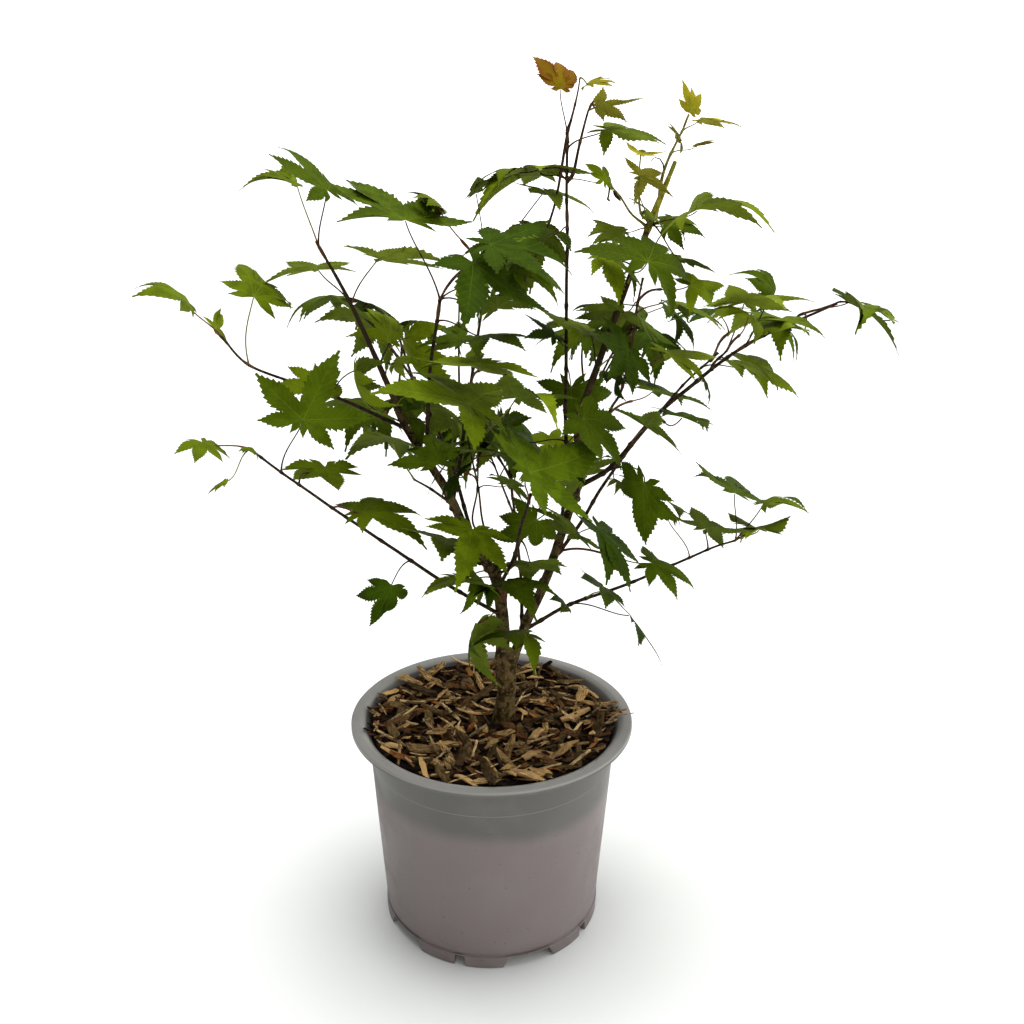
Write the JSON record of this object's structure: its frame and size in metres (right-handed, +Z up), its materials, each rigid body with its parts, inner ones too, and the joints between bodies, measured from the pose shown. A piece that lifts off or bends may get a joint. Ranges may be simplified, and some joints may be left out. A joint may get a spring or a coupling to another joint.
{
  "type": "potted japanese maple",
  "caption": "Young Japanese maple with a forked trunk, thin boughs and lobed leaves, in a round tapered plastic nursery pot topped with bark mulch.",
  "frame": {"origin": "on the pot's axis, on the surface that its feet stand on; the crown reaches equally far to the left and right, and to the front and back, of this axis", "axes": "+Z up, -Y the plant's front, +X to its right as seen from the front"},
  "size_m": [0.48, 0.304, 0.562],
  "materials": {
    "pot_plastic": "taupe grey moulded plastic, satin, with fine scuffs",
    "bark_mulch": "dry shredded bark chips over dark damp soil",
    "bark": "olive brown young bark with fine ridges and pores",
    "twig": "smooth dark red-brown young wood",
    "leaf": "mid green leaf, slightly glossy, with paler veins",
    "young_leaf": "yellow green new leaf with bronze red margins"
  },
  "bodies": {
    "root": {"pot": "pot_plastic", "mulched_soil": "bark_mulch", "trunk": "bark", "leader_left": "bark", "leader_right": "bark", "bough_low_left": "twig", "bough_low_right": "twig", "bough_far_left": "twig", "bough_upright_left": "twig", "bough_inner": "twig", "bough_tall": "twig", "bough_right": "twig", "bough_right_thin": "twig", "bough_front": "twig", "bough_back_left": "twig", "bough_back_right": "twig", "bough_back_low": "twig", "leaves_far_left": "leaf", "leaves_left_upper": "leaf", "leaves_low_left_tip": "leaf", "leaves_left_front": "leaf", "leaves_left_low": "leaf", "leaves_left_hanging": "leaf", "leaves_top_left": "leaf", "leaves_left_middle": "leaf", "leaves_left_inner": "leaf", "leaves_left_heart": "leaf", "leaves_upper_left": "leaf", "leaves_upper_front": "leaf", "leaves_middle_front": "leaf", "leaves_upper_back": "leaf", "leaves_inner_heart": "leaf", "leaves_crown_tip": "young_leaf", "leaves_crown_side": "young_leaf", "leaves_crown_middle": "leaf", "leaves_shoot_tip": "young_leaf", "leaves_shoot_bronze": "young_leaf", "leaves_right_upper": "leaf", "leaves_right_shoulder": "leaf", "leaves_right_outer": "leaf", "leaves_right_tip": "leaf", "leaves_right_back": "leaf", "leaves_right_heart": "leaf", "leaves_right_front": "leaf", "leaves_low_right_tip": "leaf", "leaves_low_right": "leaf", "leaves_low_right_hanging": "leaf", "leaves_front": "leaf", "leaves_low_front": "leaf", "leaves_low_middle": "leaf", "leaves_foot": "leaf", "leaves_back_left": "leaf", "leaves_back_right": "leaf", "leaves_back": "leaf", "leaves_back_side": "leaf"}
  },
  "joints": []
}
